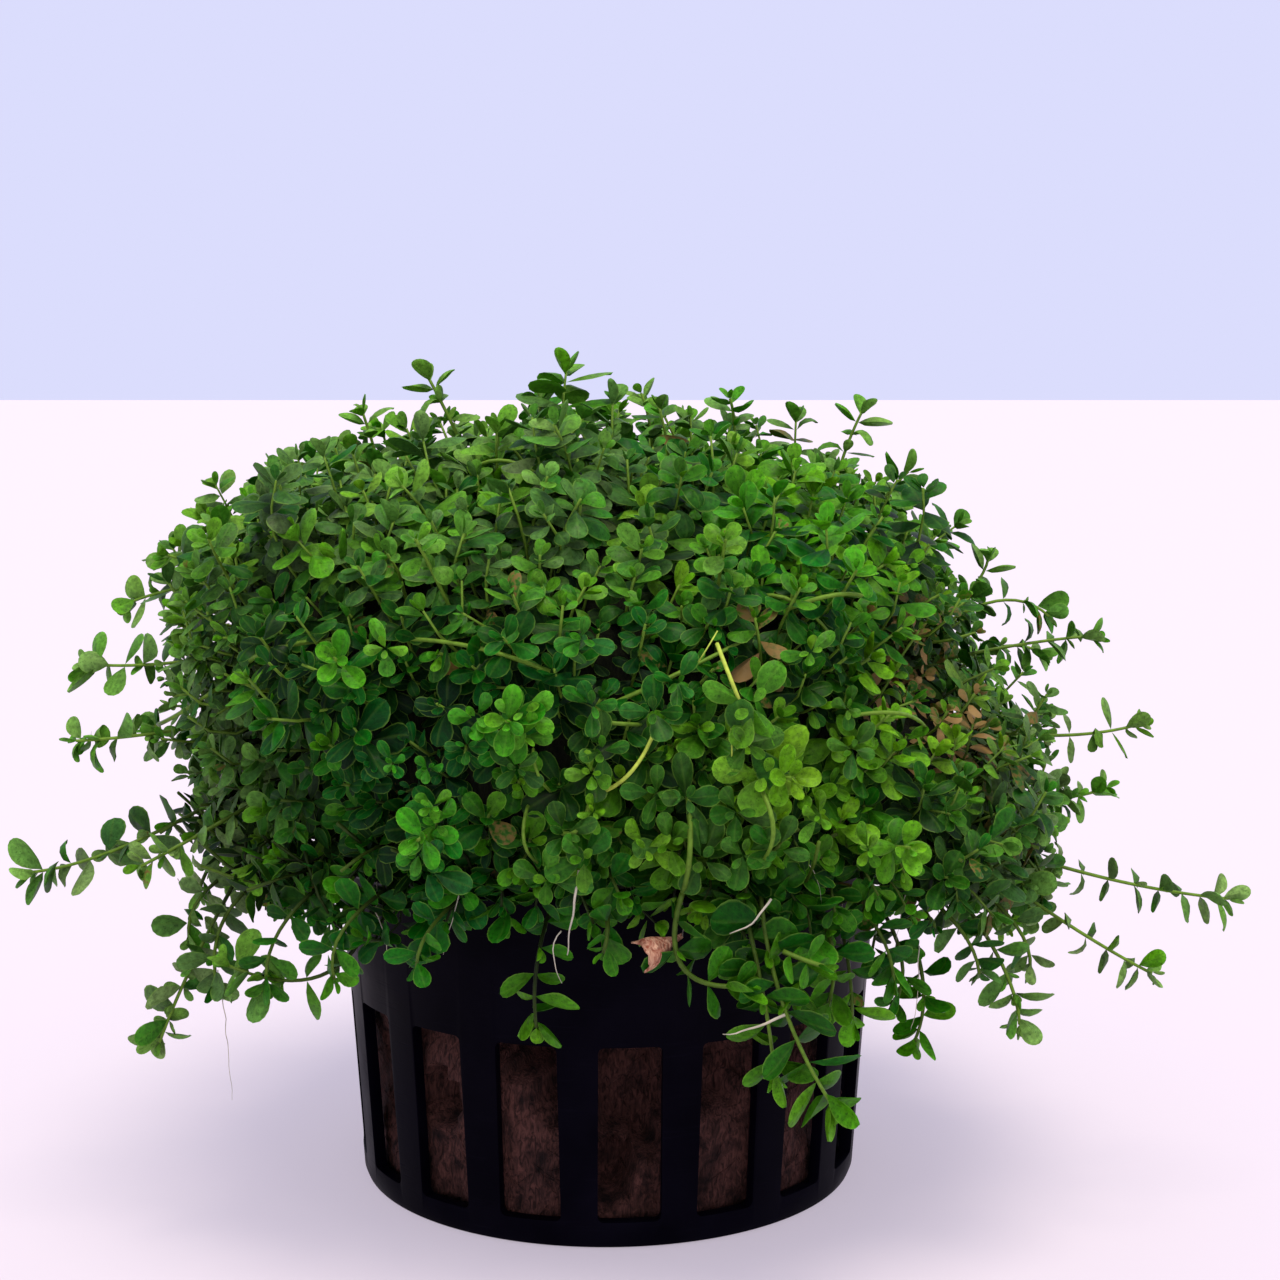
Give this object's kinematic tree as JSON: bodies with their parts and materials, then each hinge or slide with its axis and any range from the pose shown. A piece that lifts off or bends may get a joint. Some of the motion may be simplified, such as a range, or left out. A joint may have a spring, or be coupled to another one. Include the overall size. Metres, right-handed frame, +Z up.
{
  "type": "potted creeping water plant",
  "caption": "Small slotted plastic plant pot packed with brown mineral wool, topped by a dense domed cushion of tiny-leaved creeping stems that overhang the rim.",
  "frame": {"origin": "centre of the underside of the pot", "axes": "+Z up along the pot's axis, -Y towards the side that the picture shows, +X to that view's right"},
  "size_m": [0.1061, 0.0903, 0.0739],
  "materials": {
    "moulded_plastic": "blue-black injection-moulded plastic, satin, lightly scratched",
    "mineral_wool": "brown fibrous mineral wool, damp and matt",
    "foliage": "small smooth leaves, mid to dark green, softly glossy",
    "young_shoot": "bright yellow-green young leaves and stems, softly glossy",
    "withered_leaf": "withered brown-pink leaf, dull"
  },
  "bodies": {
    "root": {"leafy_cushion": "foliage", "net_pot": "moulded_plastic", "rosette_front_1": "young_shoot", "rosette_front_2": "young_shoot", "rosette_front_3": "young_shoot", "rosette_front_4": "young_shoot", "rosette_front_5": "young_shoot", "rosette_front_6": "young_shoot", "rosette_front_7": "young_shoot", "stem_back_1": "young_shoot", "stem_back_2": "young_shoot", "stem_back_3": "young_shoot", "stem_back_4": "young_shoot", "stem_back_5": "young_shoot", "stem_back_6": "young_shoot", "stem_back_7": "young_shoot", "stem_back_8": "young_shoot", "stem_back_9": "young_shoot", "stem_front_left": "young_shoot", "stem_front_long": "young_shoot", "stem_front_middle": "young_shoot", "stem_front_right": "young_shoot", "stem_left_far": "young_shoot", "stem_left_level": "young_shoot", "stem_left_low": "young_shoot", "stem_left_middle": "young_shoot", "stem_left_short": "young_shoot", "stem_left_shoulder": "young_shoot", "stem_left_upper": "young_shoot", "stem_right_arch": "young_shoot", "stem_right_behind": "young_shoot", "stem_right_crown": "young_shoot", "stem_right_far": "young_shoot", "stem_right_hanging": "young_shoot", "stem_right_high": "young_shoot", "stem_right_inner": "young_shoot", "stem_right_loose": "young_shoot", "stem_right_low": "young_shoot", "stem_right_middle": "young_shoot", "stem_right_short": "young_shoot", "stem_right_shoulder": "young_shoot", "stem_right_upper": "young_shoot", "stem_top_back": "young_shoot", "stem_top_far_right": "young_shoot", "stem_top_left": "young_shoot", "stem_top_middle": "young_shoot", "stem_top_right": "young_shoot", "stem_top_rosette": "young_shoot", "stem_top_tall": "young_shoot", "withered_leaf": "withered_leaf", "wool_plug": "mineral_wool"}
  },
  "joints": []
}
